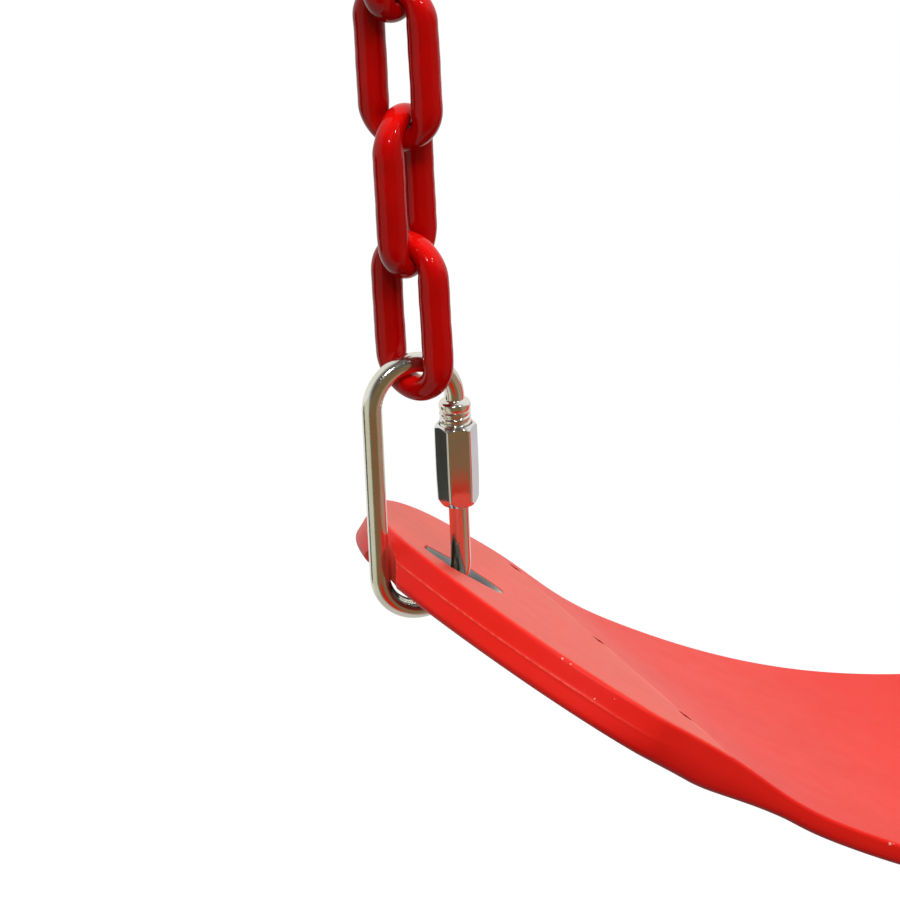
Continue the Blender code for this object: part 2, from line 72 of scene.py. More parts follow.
CROWN_RADIUS, LOWEST_CROWN_RADIUS, LEG_RADIUS = 2.8, 3.25, 3.85
CHAIN_TURNS = [-64.5, 40.0, -56.5, 38.0, -64.5]
CHAIN_SHIFT = -0.45
LEAN = math.radians(3.4)
LINK_LEAN = math.radians(2.7)
TIP_X, TIP_Z = -5.56, -11.6
GAP, HOOK_GAP = 0.3, 0.85
EDGE_RADIUS, WEB_EDGE_RADIUS = 2.0, 1.6


def profile_tables():
    s = np.linspace(-12.0, BELT_HALF_LENGTH, 1129)
    at, deg = np.array(SLOPES).T
    slope = np.radians(np.interp(s, at, deg))
    for _ in range(3):
        padded = np.concatenate([np.full(12, slope[0]), slope, 2 * slope[-1] - slope[-2:-14:-1]])
        slope = np.convolve(padded, np.full(25, 1 / 25), "valid")
    step = s[1] - s[0]
    mean = (slope[1:] + slope[:-1]) / 2
    x = np.concatenate([[0.0], np.cumsum(np.cos(mean)) * step])
    z = -np.concatenate([[0.0], np.cumsum(np.sin(mean)) * step])
    return s, x - np.interp(0.0, s, x), z - np.interp(0.0, s, z), slope


S, PX, PZ, SLOPE = profile_tables()
BELT_SPAN = float(PX[-1])
LINK_X = -(BELT_SPAN + TIP_X)
low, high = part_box("quick_link_lower_left")
LOWER = Vector((LINK_X, 0.0, (low.z + high.z) / 2 / MM))  # centre of the left lower quick link
low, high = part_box("quick_link_upper_left")
CROWN_INSIDE = LINK_LENGTH / 2 - ROD
UPPER = Vector((0.0, 0.0, (low.z + high.z) / 2 / MM))
UPPER.x = LINK_X + CHAIN_SHIFT - math.tan(LEAN) * (UPPER.z - LOWER.z - 2 * CROWN_INSIDE)
TIP = Vector((-BELT_SPAN, 0.0, TIP_Z + LOWER.z))


def up_chain(distance):
    x = LINK_X + CHAIN_SHIFT - math.sin(LEAN) * distance
    return Vector((x, 0.0, LOWER.z + CROWN_INSIDE + math.cos(LEAN) * distance))


def link_middles():
    """Middles of the chain links along the chain, from the lowest up."""
    inside_bottom, middles = -HOOK_GAP, []
    for k in range(len(CHAIN_TURNS)):
        bottom = LOWEST_CROWN_RADIUS if k == 0 else CROWN_RADIUS
        middles.append(inside_bottom - 2 * bottom + CHAIN_OUTER / 2)
        inside_bottom = middles[-1] + CHAIN_OUTER / 2 - 2 * CROWN_RADIUS - GAP
    return middles


def smooth(t):
    t = np.clip(t, 0.0, 1.0)
    return t * t * (3 - 2 * t)


def thickness(s):
    return PAD_THICKNESS + (WEB_THICKNESS - PAD_THICKNESS) * smooth((s - PAD_END) / (WEB_START - PAD_END))


def on_belt(s, y, depth):
    """World places in mm of points along, across and below the belt's top face (arrays)."""
    slope = np.interp(s, S, SLOPE)
    x = TIP.x + np.interp(s, S, PX) - depth * np.sin(slope)
    z = TIP.z + np.interp(s, S, PZ) - depth * np.cos(slope)
    return np.stack([x, y + 0 * x, z], axis=-1)


def outline(t):
    a = np.minimum(t, 1.0) * math.pi / 2
    s = NOSE_LENGTH * (1 - np.abs(np.cos(a)) ** (2 / NOSE_POWER))
    y = BELT_HALF_WIDTH * np.abs(np.sin(a)) ** (2 / NOSE_POWER)
    s = np.where(t > 1.0, NOSE_LENGTH + (t - 1.0) * (BELT_HALF_LENGTH - NOSE_LENGTH), s)
    return s, y


def outline_normal(t):
    e = 1e-4
    s0, y0 = outline(np.clip(t - e, 0, 1))
    s1, y1 = outline(np.clip(t + e, 0, 1))
    ds, dy = s1 - s0, y1 - y0
    n = np.maximum(np.hypot(ds, dy), 1e-12)
    ds, dy = ds / n, dy / n
    ns, ny = -dy, ds
    ns = np.where(t >= 1.0, 0.0, np.where(t <= 0.0, -1.0, ns))
    ny = np.where(t >= 1.0, 1.0, np.where(t <= 0.0, 0.0, ny))
    return ns, ny


# ---------------------------------------------------------------- node helpers
class Nodes:
    """Small helper round a node tree: every method returns a socket."""

    def __init__(self, tree):
        self.tree = tree
        self.nodes = tree.nodes
        self.links = tree.links

    def new(self, kind, **props):
        n = self.nodes.new(kind)
        for k, v in props.items():
            setattr(n, k, v)
        return n

    def put(self, value, socket):
        if isinstance(value, bpy.types.NodeSocket):
            self.links.new(value, socket)
        elif hasattr(socket.default_value, "__len__") and not hasattr(value, "__len__"):
            socket.default_value = [value] * len(socket.default_value)
        else:
            socket.default_value = value

    def math(self, op, a, b=0.0, c=0.0, clamp=False):
        n = self.new("ShaderNodeMath", operation=op, use_clamp=clamp)
        for value, socket in zip((a, b, c), n.inputs):
            self.put(value, socket)
        return n.outputs[0]

    def vec(self, op, a, b=(0, 0, 0), scale=None):
        n = self.new("ShaderNodeVectorMath", operation=op)
        self.put(a, n.inputs[0])
        self.put(b, n.inputs[1])
        if scale is not None:
            self.put(scale, n.inputs["Scale"])
        return n.outputs["Value" if op in ("DOT_PRODUCT", "LENGTH", "DISTANCE") else "Vector"]

    def split(self, v):
        n = self.new("ShaderNodeSeparateXYZ")
        self.put(v, n.inputs[0])
        return n.outputs

    def ramp(self, value, lo, hi, out_lo=0.0, out_hi=1.0, mode="SMOOTHSTEP"):
        n = self.new("ShaderNodeMapRange", interpolation_type=mode, clamp=True)
        for v, name in ((value, "Value"), (lo, "From Min"), (hi, "From Max"), (out_lo, "To Min"), (out_hi, "To Max")):
            self.put(v, n.inputs[name])
        return n.outputs["Result"]

    def mix(self, factor, a, b, blend="MIX"):
        n = self.new("ShaderNodeMix", data_type="RGBA", blend_type=blend)
        self.put(factor, n.inputs[0])
        self.put((*a, 1.0) if isinstance(a, tuple) and len(a) == 3 else a, n.inputs[6])
        self.put((*b, 1.0) if isinstance(b, tuple) and len(b) == 3 else b, n.inputs[7])
        return n.outputs[2]

    def noise(self, vector, scale, detail=3.0, rough=0.5, distortion=0.0):
        n = self.new("ShaderNodeTexNoise", noise_dimensions="3D")
        self.put(vector, n.inputs["Vector"])
        for name, v in (("Scale", scale), ("Detail", detail), ("Roughness", rough), ("Distortion", distortion)):
            self.put(v, n.inputs[name])
        return n.outputs["Fac"]

    def voronoi(self, vector, scale, feature="F1", randomness=1.0):
        n = self.new("ShaderNodeTexVoronoi", feature=feature)
        self.put(vector, n.inputs["Vector"])
        n.inputs["Scale"].default_value = scale
        n.inputs["Randomness"].default_value = randomness
        return n.outputs["Distance"]

    def bump(self, height, strength, distance, normal=None):
        n = self.new("ShaderNodeBump")
        self.put(height, n.inputs["Height"])
        n.inputs["Strength"].default_value = strength
        n.inputs["Distance"].default_value = distance
        if normal is not None:
            self.put(normal, n.inputs["Normal"])
        return n.outputs["Normal"]


def new_material(name):
    m = bpy.data.materials.new(name)
    m.use_nodes = True
    n = Nodes(m.node_tree)
    shader = n.nodes["Principled BSDF"]
    place = n.new("ShaderNodeTexCoord").outputs["Object"]
    return m, n, shader, place


def layer_weight(n, blend, normal=None):
    w = n.new("ShaderNodeLayerWeight")
    w.inputs["Blend"].default_value = blend
    if normal is not None:
        n.put(normal, w.inputs["Normal"])
    return w.outputs["Facing"]


def crease_place():
    p = on_belt(np.array([CREASE]), np.array([0.0]), np.array([0.0]))[0]
    return abs(float(p[0])) * MM, float(p[2]) * MM


# ---------------------------------------------------------------- materials
SCUFFS = [  # distance from the left tip along the belt, place across it, depth and radius, all in mm
    (25.2, -54.2, 0.8, 0.36), (26.9, -55.9, 0.8, 0.24), (37.2, -64.4, 2.1, 0.20), (127.8, -69.8, 0.6, 0.5),
    (129.0, -69.8, 0.2, 0.4), (93.6, 18.6, 0.0, 0.35), (61.0, 30.0, 0.0, 0.3), (29.5, -58.0, 3.8, 0.3),
    (31.5, -60.0, 4.2, 0.25), (34.0, -62.0, 4.6, 0.3),
]


def belt_material():
    m, n, shader, place = new_material("belt_red_rubber")
    broad = n.noise(place, 22.0, 4.0, 0.6)
    blotch = n.noise(place, 130.0, 4.0, 0.65)
    grain = n.noise(place, 1500.0, 3.0, 0.6)
    fine = n.noise(place, 4200.0, 2.0, 0.6)
    color = n.mix(n.ramp(broad, 0.35, 0.7), (0.79, 0.010, 0.004), (0.83, 0.015, 0.007))
    color = n.mix(n.ramp(blotch, 0.45, 0.75, 0.0, 0.15), color, (0.84, 0.022, 0.012))
    color = n.mix(n.ramp(fine, 0.42, 0.72, 0.0, 0.10), color, (0.86, 0.030, 0.018))
    low = n.new("ShaderNodeAttribute", attribute_name="edge_low_shade").outputs["Fac"]
    # painted shade: the belt's edge is painted darker towards its underside
    color = n.mix(n.ramp(low, 0.30, 0.95, 0.0, 0.72), color, (0.50, 0.0012, 0.0006))
    specks = n.ramp(n.voronoi(place, 420.0), 0.0, 0.10, 1.0, 0.0)
    rare = n.ramp(n.noise(place, 60.0, 2.0, 0.5), 0.55, 0.66)
    speck = n.math("MULTIPLY", specks, rare)
    color = n.mix(n.math("MULTIPLY", speck, 0.35), color, (0.95, 0.33, 0.26))
    mark = None
    for s, across, depth, radius in SCUFFS:
        at = on_belt(np.array([s]), np.array([across]), np.array([depth]))[0] * MM
        d = n.vec("DISTANCE", place, tuple(float(c) for c in at))
        d = n.math("ADD", d, n.math("MULTIPLY", n.math("SUBTRACT", n.noise(place, 1800.0, 3.0), 0.5), radius * MM * 1.6))
        one = n.ramp(d, radius * MM * 0.35, radius * MM, 1.0, 0.0)
        mark = one if mark is None else n.math("MAXIMUM", mark, one)
    if mark is not None:
        color = n.mix(n.math("MULTIPLY", mark, 0.7), color, (0.95, 0.55, 0.50))
    # the moulded crease across the belt: a pale line of painted highlight along it, with three short sunk marks on it
    # painted dark as their shade
    x, y, z = n.split(place)
    crease_x, crease_z = crease_place()
    off = n.math("ABSOLUTE", n.math("SUBTRACT", n.math("ABSOLUTE", x), crease_x))
    above = n.ramp(z, crease_z - 0.004, crease_z - 0.003)
    crease_highlight = n.math("MULTIPLY", n.ramp(off, 0.0002, 0.0016, 1.0, 0.0), above)
    crease_highlight = n.math("MULTIPLY", crease_highlight, n.ramp(n.noise(place, 70.0, 3.0), 0.35, 0.6, 0.25, 1.0))
    crease_highlight = n.math("MULTIPLY", crease_highlight, n.ramp(n.math("ABSOLUTE", y), 0.058, 0.066, 1.0, 0.0))
    # painted highlight: a pale line along the crease's ridge
    color = n.mix(n.math("MULTIPLY", crease_highlight, 0.34), color, (1.0, 0.30, 0.22))
    marks = None
    turned = n.math("MULTIPLY", y, n.math("SIGN", x))
    for centre in CREASE_MARKS:
        one = n.ramp(n.math("ABSOLUTE", n.math("ADD", turned, centre * MM)), 0.0014, 0.0021, 1.0, 0.0)
        marks = one if marks is None else n.math("MAXIMUM", marks, one)
    marks = n.math("MULTIPLY", n.math("MULTIPLY", marks, above), n.ramp(off, 0.0009, 0.0014, 1.0, 0.0))
    # painted sheen: the top face on the tip's side of the crease is painted paler salmon
    tipward_sheen = n.ramp(n.math("ABSOLUTE", x), crease_x - 0.0003, crease_x + 0.0009)
    edge = n.new("ShaderNodeAttribute", attribute_name="edge_side").outputs["Fac"]
    tipward_sheen = n.math("MULTIPLY", tipward_sheen, n.ramp(edge, 0.1, 0.7, 1.0, 0.0))
    color = n.mix(n.math("MULTIPLY", tipward_sheen, 0.17), color, (0.78, 0.30, 0.20))
    # painted shade: the sunk crease marks are painted dark
    color = n.mix(marks, color, (0.30, 0.002, 0.001))
    # painted highlight: the parting line's bead is painted paler, broken into dots
    line = n.new("ShaderNodeAttribute", attribute_name="parting_line").outputs["Fac"]
    line = n.math("MULTIPLY", line, n.ramp(n.noise(place, 700.0, 2.0), 0.35, 0.65, 0.35, 1.0))
    color = n.mix(n.math("MULTIPLY", line, 0.5), color, (1.0, 0.20, 0.13))
    n.put(color, shader.inputs["Base Color"])
    rough = n.ramp(blotch, 0.3, 0.75, 0.40, 0.44)
    n.put(n.math("ADD", rough, n.math("MULTIPLY", marks, 0.4)), shader.inputs["Roughness"])
    n.put(n.math("MULTIPLY", 0.26, n.math("SUBTRACT", 1.0, marks)), shader.inputs["Specular IOR Level"])
    shader.inputs["IOR"].default_value = 1.45
    height = n.math("ADD", n.math("MULTIPLY", grain, 0.7), n.math("MULTIPLY", fine, 0.3))
    bumped = n.bump(height, 0.22, 0.00010)
    bumped = n.bump(blotch, 0.02, 0.0002, bumped)
    bumped = n.bump(marks, 0.9, -0.0006, bumped)
    n.put(bumped, shader.inputs["Normal"])
    shader.inputs["Subsurface Weight"].default_value = 0.0
    return m


def chain_material():
    m, n, shader, place = new_material("chain_red_plastisol")
    broad = n.noise(place, 55.0, 3.0, 0.5)
    swirl = n.noise(place, 240.0, 3.0, 0.55, 0.4)
    color = n.mix(n.ramp(broad, 0.3, 0.7), (0.40, 0.0008, 0.0010), (0.48, 0.0012, 0.0012))
    # painted light: faces turned upwards are painted brighter red, as if lit from above
    painted_top_light = n.split(n.new("ShaderNodeNewGeometry").outputs["Normal"])[2]
    color = n.mix(n.ramp(painted_top_light, 0.25, 0.85, 0.0, 0.9), color, (0.80, 0.0050, 0.0030))
    pits = n.ramp(n.voronoi(place, 260.0), 0.0, 0.07, 1.0, 0.0)
    rare = n.ramp(n.noise(place, 90.0, 1.0), 0.56, 0.62)
    pit = n.math("MULTIPLY", pits, rare)
    color = n.mix(n.math("MULTIPLY", pit, 0.5), color, (0.62, 0.05, 0.04))
    n.put(color, shader.inputs["Base Color"])
    n.put(n.ramp(swirl, 0.3, 0.8, 0.05, 0.085), shader.inputs["Roughness"])
    shader.inputs["IOR"].default_value = 1.27
    shader.inputs["Specular IOR Level"].default_value = 0.5
    bumped = n.bump(broad, 0.35, 0.0009)
    bumped = n.bump(swirl, 0.12, 0.00025, bumped)
    bumped = n.bump(pit, 0.5, 0.0001, bumped)
    n.put(bumped, shader.inputs["Normal"])
    return m


def zinc_material(name, base, tint, speckle, low_rough, high_rough):
    m, n, shader, place = new_material(name)
    broad = n.noise(place, 70.0, 3.0, 0.55)
    speck = n.noise(place, 2600.0, 3.0, 0.7)
    pits = n.ramp(n.voronoi(place, 900.0), 0.0, 0.22, 1.0, 0.0)
    rare = n.ramp(n.noise(place, 230.0, 2.0), 0.52, 0.64)
    pit = n.math("MULTIPLY", pits, rare)
    color = n.mix(n.ramp(broad, 0.35, 0.68), base, tint)
    color = n.mix(n.math("MULTIPLY", pit, 0.6), color, tuple(0.45 * c for c in base))
    n.put(color, shader.inputs["Base Color"])
    shader.inputs["Metallic"].default_value = 1.0
    rough = n.math("ADD", n.ramp(speck, 0.3, 0.7, low_rough, high_rough), n.math("MULTIPLY", pit, 0.2))
    n.put(rough, shader.inputs["Roughness"])
    bumped = n.bump(speck, speckle, 0.00004)
    bumped = n.bump(pit, 0.3, -0.00006, bumped)
    bumped = n.bump(broad, 0.10, 0.0006, bumped)
    n.put(bumped, shader.inputs["Normal"])
    return m


def insert_material():
    m, n, shader, place = new_material("insert_rolled_steel")
    stretched = n.vec("MULTIPLY", place, (1.0, 14.0, 1.0))
    lines = n.noise(stretched, 300.0, 4.0, 0.6)
    stain = n.noise(place, 90.0, 4.0, 0.6)
    color = n.mix(n.ramp(stain, 0.4, 0.7), (0.34, 0.34, 0.35), (0.24, 0.21, 0.18))
    n.put(color, shader.inputs["Base Color"])
    shader.inputs["Metallic"].default_value = 1.0
    n.put(n.ramp(lines, 0.3, 0.7, 0.32, 0.52), shader.inputs["Roughness"])
    n.put(n.bump(lines, 0.25, 0.00008), shader.inputs["Normal"])
    return m


# ---------------------------------------------------------------- mesh helpers
def make_object(name, verts, faces, mat, sharp=40.0):
    mesh = bpy.data.meshes.new(name)
    mesh.from_pydata([tuple(v) for v in np.asarray(verts, float)], [], faces)
    mesh.update()
    bm = bmesh.new()
    bm.from_mesh(mesh)
    bmesh.ops.recalc_face_normals(bm, faces=bm.faces)
    bm.to_mesh(mesh)
    bm.free()
    mesh.shade_smooth()
    mesh.set_sharp_from_angle(angle=math.radians(sharp))
    mesh.materials.append(mat)
    o = bpy.data.objects.new(name, mesh)
    scene.collection.objects.link(o)
    return o


def tube(points, side, radius_of, sides, closed):
    """Rings round a planar centre line. radius_of(i, angles) gives radii; angle 0 points to the path's outside.

    points: (N, 3); side: unit normal of the path's plane."""
    points = np.asarray(points, float)
    count = len(points)
    if closed:
        ahead, behind = np.roll(points, -1, 0), np.roll(points, 1, 0)
    else:
        ahead = np.vstack([points[1:], 2 * points[-1] - points[-2]])
        behind = np.vstack([2 * points[0] - points[1], points[:-1]])
    tangent = ahead - behind
    tangent /= np.linalg.norm(tangent, axis=1)[:, None]
    side = np.asarray(side, float)
    outward = np.cross(tangent, side)
    angles = np.arange(sides) * 2 * math.pi / sides
    verts = []
    for i in range(count):
        r = radius_of(i, angles)
        verts.append(
            points[i] + (np.cos(angles) * r)[:, None] * outward[i] + (np.sin(angles) * r)[:, None] * side
        )
    verts = np.vstack(verts)
    faces = []
    spans = count if closed else count - 1
    for i in range(spans):
        a, b = i * sides, ((i + 1) % count) * sides
        for k in range(sides):
            l = (k + 1) % sides
            faces.append((a + k, a + l, b + l, b + k))
    if not closed:
        faces.append(tuple(range(sides))[::-1])
        faces.append(tuple((count - 1) * sides + k for k in range(sides)))
    return verts, faces


def place_piece(o, body, replaces, matrix=None):
    if matrix is not None:
        o.data.transform(matrix)
        o.data.update()
    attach(o, body)
    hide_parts(*replaces)
    return o


HALF_TURN = Matrix.Rotation(math.pi, 4, "Z")


# ---------------------------------------------------------------- belt
def belt_half_mesh():
    """Left half of the belt as arrays: two face grids joined by rings round the edge."""
    half, front = 30, 44
    corner = 0.50
    nose_t = corner * (np.arange(half + 1) / half) ** 0.9
    side_t = list(corner + (1 - corner) * np.arange(front + 1) / front)
    stations = list(np.arange(52.5, 108.0, 0.75)) + list(np.arange(108.0, 268.0, 2.5)) + [BELT_HALF_LENGTH]
    side_t += [1 + (s - NOSE_LENGTH) / (BELT_HALF_LENGTH - NOSE_LENGTH) for s in stations]
    side_t = np.array(side_t)

    def radii(t, top):
        k = np.clip((PAD_THICKNESS - thickness(outline(t)[0])) / (PAD_THICKNESS - WEB_THICKNESS), 0, 1)
        return (1.2 + (1.0 - 1.2) * k) if top else (EDGE_RADIUS + (WEB_EDGE_RADIUS - EDGE_RADIUS) * k)

    def place(t, inset):
        s, y = outline(t)
        ns, ny = outline_normal(t)
        return s - inset * ns, y - inset * ny

    def relief(s, y):
        """Raised and sunk detail of the top face: a low ridge at the crease and three short marks on it."""
        h = 0.16 * np.exp(-(((s - CREASE) / 0.9) ** 2)) * (np.abs(y) < 66)
        for centre in CREASE_MARKS:
            h = h - 0.30 * np.exp(-(((y - centre) / 2.2) ** 4)) * np.exp(-(((s - CREASE) / 0.6) ** 2))
        return -h

    rows_by_face = []
    for top in (True, False):
        rows = []
        fs, fy = place(nose_t, radii(nose_t, top))
        cs, cy = place(np.array([corner]), radii(np.array([corner]), top))
        cs, cy = cs[0], cy[0]
        for t in side_t:
            ta = np.array([t])
            gs, gy = place(ta, radii(ta, top))
            gs, gy = gs[0], gy[0]
            fade = max(0.0, 1 - (gs - cs) / (62.0 - cs)) ** 1.3
            v = np.arange(half + 1)
            s = gs - (cs - fs) * fade
            y = (gy * fy / cy) * fade + (gy * v / half) * (1 - fade)
            rows.append((np.concatenate([s[:0:-1], s]), np.concatenate([-y[:0:-1], y])))
        rows_by_face.append(rows)
    across = 2 * half
    verts, faces = [], []
    grids = []
    for top, rows in zip((True, False), rows_by_face):
        start = len(verts)
        for s, y in rows:
            depth = relief(s, y) if top else thickness(s)
            verts.extend(on_belt(s, y, depth))
        grids.append(start)
        for i in range(len(rows) - 1):
            for j in range(across):
                a = start + i * (across + 1) + j
                b = a + across + 1
                faces.append((a, b, b + 1, a + 1) if not top else (a, a + 1, b + 1, b))

    def loop_ids(start):
        n = len(side_t)
        left = [start + i * (across + 1) for i in range(n - 1, 0, -1)]
        front_row = [start + j for j in range(across + 1)]
        right = [start + i * (across + 1) + across for i in range(1, n)]
        return left + front_row + right

    lt = np.concatenate([side_t[:0:-1], nose_t[:0:-1], nose_t, side_t[1:]])
    # the row list above holds the tip once
    lt = np.concatenate([side_t[:0:-1], nose_t[::-1], nose_t[1:], side_t[1:]])
    sign = np.concatenate([-np.ones(len(side_t) - 1 + len(nose_t) - 1), [1.0], np.ones(len(nose_t) - 1 + len(side_t) - 1)])
    os_, oy = outline(lt)
    ns, ny = outline_normal(lt)
    thick = thickness(os_)
    rt, rb = radii(lt, True), radii(lt, False)
    rings = []
    line_rings = {}
    for k in range(1, 9):
        a = math.radians(90 * k / 8)
        rings.append((rt * (1 - math.sin(a)), rt * (1 - math.cos(a))))
    wall_top, wall_bottom = rt, thick - rb
    line = thick * 0.5
    for f in (0.3, 0.62, 0.86):
        rings.append((0 * lt, wall_top + (np.maximum(line - 0.42, wall_top + 0.02) - wall_top) * f))
    flash = np.minimum(1.0, np.maximum(0.0, (wall_bottom - wall_top - 0.6) / 1.0))
    fade_out = 0.12 + 0.88 * np.clip((62.0 - os_) / 26.0, 0.0, 1.0)
    for off, proud in ((-0.34, 0.0), (-0.17, 0.13), (0.0, 0.21), (0.17, 0.13), (0.34, 0.0)):
        d = np.clip(line + off, wall_top + 0.05, np.maximum(wall_bottom - 0.05, wall_top + 0.1))
        line_rings[len(rings)] = (1.0 - abs(off) / 0.34) * flash * np.clip((50.0 - os_) / 22.0, 0.0, 1.0)
        rings.append((-proud * 0.35 * flash * fade_out, d + 0.0 * off))
    for f in (0.2, 0.6):
        rings.append((0 * lt, line + 0.42 + (wall_bottom - line - 0.42) * f))
    for k in range(0, 8):
        a = math.radians(90 * k / 8)
        rings.append((rb * (1 - math.cos(a)), thick - rb * (1 - math.sin(a))))
    # keep the depths in order where the wall is short
    depths = np.maximum.accumulate(np.stack([r[1] for r in rings]), axis=0)
    ids = [loop_ids(grids[0])]
    mask = [0.0] * len(verts)
    low = [0.0] * grids[1] + [1.0] * (len(verts) - grids[1])  # how far down the belt's edge a corner lies, used to paint shade darker towards the underside
    edge = list(low)  # nought on the top face only
    for r, ((inset, _), depth) in enumerate(zip(rings, depths)):
        start = len(verts)
        verts.extend(on_belt(os_ - inset * ns, sign * (oy - inset * ny), depth))
        mask.extend(list(line_rings.get(r, 0 * lt)))
        low.extend(list(depth / thick * smooth((os_ - 14.0) / 40.0)))
        edge.extend(list(np.clip(depth / 0.8, 0.0, 1.0) + 0 * lt))
        ids.append(list(range(start, start + len(lt))))
    ids.append(loop_ids(grids[1]))
    for a, b in zip(ids, ids[1:]):
        for k in range(len(a) - 1):
            faces.append((a[k], a[k + 1], b[k + 1], b[k]))
    return np.array(verts), faces, mask, low, edge


RIM_OUT, RIM_SINK = 3.1, 1.9  # the funnel's reach beyond the slot and the depth of its seat in the belt


def slot_points(extra, steps=14):
    """The slot's outline, offset outwards, in the belt's plane: (x, y) in mm."""
    r = SLOT_WIDTH / 2 + extra
    straight = SLOT_LENGTH / 2 - SLOT_WIDTH / 2
    pts = []
    for k in range(steps + 1):
        a = -math.pi / 2 + math.pi * k / steps
        pts.append((straight + r * math.cos(a), r * math.sin(a)))
    for k in range(1, 7):
        pts.append((straight * (1 - 2 * k / 7), r))
    for k in range(steps + 1):
        a = math.pi / 2 + math.pi * k / steps
        pts.append((-straight + r * math.cos(a), r * math.sin(a)))
    for k in range(1, 7):
        pts.append((straight * (-1 + 2 * k / 7), -r))
    return pts


def belt_frame(s, depth):
    slope = float(np.interp(s, S, SLOPE))
    origin = Vector(on_belt(np.array([s]), np.array([0.0]), np.array([depth]))[0]) * MM
    along = Vector((math.cos(slope), 0.0, -math.sin(slope)))
    normal = Vector((math.sin(slope), 0.0, math.cos(slope)))
    m = Matrix.Identity(4)
    for c, v in enumerate((along, normal.cross(along), normal, origin)):
        m[0][c], m[1][c], m[2][c] = v
    return m


def ring_mesh(section, steps=14):
    """A closed section (outward offset, height) swept round the slot's outline."""
    loops = [slot_points(extra, steps) for extra, _ in section]
    count = len(loops[0])
    verts, faces = [], []
    for loop, (_, height) in zip(loops, section):
        verts.extend((x * MM, y * MM, height * MM) for x, y in loop)
    for i in range(len(section)):
        a, b = i * count, ((i + 1) % len(section)) * count
        for k in range(count):
            l = (k + 1) % count
            faces.append((a + k, a + l, b + l, b + k))
    return verts, faces


def boolean_cut(o, cutters):
    for c in cutters:
        m = o.modifiers.new("cut", "BOOLEAN")
        m.operation = "DIFFERENCE"
        m.solver = "EXACT"
        m.object = c
    bpy.context.view_layer.update()
    graph = bpy.context.evaluated_depsgraph_get()
    mesh = bpy.data.meshes.new_from_object(o.evaluated_get(graph))
    o.modifiers.clear()
    o.data = mesh
    for c in cutters:
        bpy.data.objects.remove(c, do_unlink=True)


def build_belt(mat):
    left, faces, mask, low, edge = belt_half_mesh()
    right = left * np.array([-1.0, -1.0, 1.0])
    verts = np.vstack([left, right]) * MM
    n = len(left)
    faces = faces + [tuple(i + n for i in f) for f in faces]
    o = make_object("belt", verts, faces, mat)
    for name, values in (("parting_line", mask), ("edge_low_shade", low), ("edge_side", edge)):
        layer = o.data.attributes.new(name, "FLOAT", "POINT")
        layer.data.foreach_set("value", np.array(list(values) * 2, dtype=np.float32))
    bm = bmesh.new()
    bm.from_mesh(o.data)
    seam = [v for v in bm.verts if abs(v.co.x) < 2e-5]
    for v in seam:
        v.co.x = 0.0
    bmesh.ops.remove_doubles(bm, verts=seam, dist=3e-6)
    bmesh.ops.recalc_face_normals(bm, faces=bm.faces)
    open_edges = sum(1 for e in bm.edges if not e.is_manifold)
    bm.to_mesh(o.data)
    bm.free()
    if open_edges:
        print("belt: open edges", open_edges)
    cutters = []

    def prism(loop, top, bottom, place):
        count = len(loop)
        cv = [(x * MM, y * MM, h * MM) for h in (top, bottom) for x, y in loop]
        cf = [tuple(range(count)), tuple(range(2 * count - 1, count - 1, -1))]
        cf += [(k, (k + 1) % count, count + (k + 1) % count, count + k) for k in range(count)]
        c = make_object("belt_cutter", cv, cf, mat)
        c.data.transform(place)
        cutters.append(c)

    angles = np.linspace(0, 2 * math.pi, 144, endpoint=False)
    hollow = [(HOLLOW_RADIUS * math.cos(a), HOLLOW_RADIUS * math.sin(a)) for a in angles]
    for turn in (Matrix.Identity(4), HALF_TURN):
        prism(slot_points(1.0 + 0.06), 8.0, -20.0, turn @ belt_frame(SLOT_CENTRE, 0.0))
        seat = [(max(px, -8.2), py) for px, py in slot_points(RIM_OUT + 0.05)]  # the rubber laps over the ring's outer end
        seat = [p for i, p in enumerate(seat) if math.dist(p, seat[i - 1]) > 1e-4]
        prism(seat, 8.0, -RIM_SINK, turn @ belt_frame(SLOT_CENTRE, 0.0))
        at = Vector((LINK_X + HOLLOW_X - HOLLOW_RADIUS, 0.0, LOWER.z + TIP_Z - 8.0)) * MM
        prism(hollow, 20.0, -20.0, turn @ Matrix.Translation(at))
    boolean_cut(o, cutters)
    o.data.shade_smooth()
    o.data.set_sharp_from_angle(angle=math.radians(38))
    return place_piece(o, "seat", ["seat_belt"])


# ---------------------------------------------------------------- eyelets
def build_eyelets(mat):
    depth = PAD_THICKNESS
    section = [(0.0, -depth - 1.0), (0.0, -depth * 0.5), (0.0, -2.6)]
    for k in range(0, 7):  # the sleeve flares outwards into a shallow funnel sunk in the belt's face
        a = math.radians(64 * k / 6)
        section.append((1.5 * (1 - math.cos(a)), -2.4 + 1.5 * math.sin(a)))
    x, z = section[-1]
    section += [(x + 0.8, z + 0.40), (RIM_OUT - 0.45, -0.16), (RIM_OUT - 0.12, -0.13), (RIM_OUT, -0.30)]
    section += [(RIM_OUT, -0.62), (RIM_OUT - 0.25, -0.75), (x + 0.9, z - 0.30), (1.03, -RIM_SINK + 0.02), (1.0, -3.0), (1.0, -depth - 1.0)]
    sv, sf = ring_mesh(section)
    wv, wf = ring_mesh([
        (1.15, -depth - 1.05), (1.15, -depth - 0.30), (1.3, -depth - 0.1), (2.4, -depth - 0.06), (2.62, -depth - 0.14),
        (2.7, -depth - 0.45), (2.55, -depth - 0.85), (2.25, -depth - 1.05),
    ])
    for side, turn in (("left", Matrix.Identity(4)), ("right", HALF_TURN)):
        m = turn @ belt_frame(SLOT_CENTRE, 0.0)
        o = make_object(f"eyelet_sleeve_{side}", sv, sf, mat, 50)
        place_piece(o, "seat", [f"eyelet_{side}"], m)
        o = make_object(f"eyelet_backing_ring_{side}", wv, wf, mat, 50)
        place_piece(o, "seat", [f"eyelet_washer_{side}"], m)


